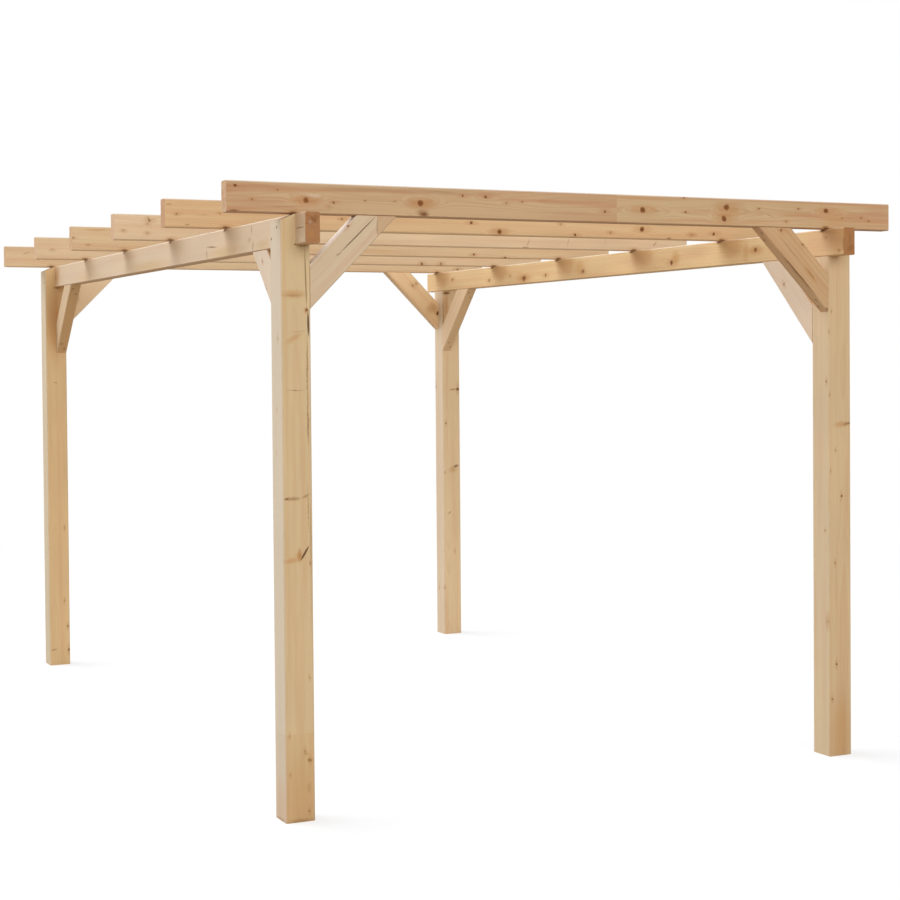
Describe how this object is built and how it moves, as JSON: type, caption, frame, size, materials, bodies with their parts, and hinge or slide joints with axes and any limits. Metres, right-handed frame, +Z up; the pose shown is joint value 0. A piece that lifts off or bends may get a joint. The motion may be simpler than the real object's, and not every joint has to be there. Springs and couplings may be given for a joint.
{
  "type": "wooden pergola",
  "caption": "Free-standing open pergola of squared timber: notched posts, two purlins, rafters laid across them on edge, and 45 degree corner braces.",
  "frame": {"origin": "centre of the plan on the ground, under the middle of the roof", "axes": "+X along the rafters to the right, +Y along the purlins to the back, +Z up"},
  "size_m": [3.132, 4.42, 2.48],
  "materials": {
    "post_timber": "planed softwood, bare, satin",
    "purlin_timber": "planed softwood, bare, satin",
    "rafter_timber": "planed softwood, bare, satin",
    "brace_timber": "planed softwood, bare, satin"
  },
  "bodies": {
    "root": {"post_front_left": "post_timber", "post_front_right": "post_timber", "post_back_left": "post_timber", "post_back_right": "post_timber", "purlin_left": "purlin_timber", "purlin_right": "purlin_timber", "rafter_1": "rafter_timber", "rafter_2": "rafter_timber", "rafter_3": "rafter_timber", "rafter_4": "rafter_timber", "rafter_5": "rafter_timber", "rafter_6": "rafter_timber", "cross_brace_front_left": "brace_timber", "cross_brace_front_right": "brace_timber", "cross_brace_back_left": "brace_timber", "cross_brace_back_right": "brace_timber", "side_brace_front_left": "brace_timber", "side_brace_front_right": "brace_timber", "side_brace_back_left": "brace_timber", "side_brace_back_right": "brace_timber"}
  },
  "joints": []
}
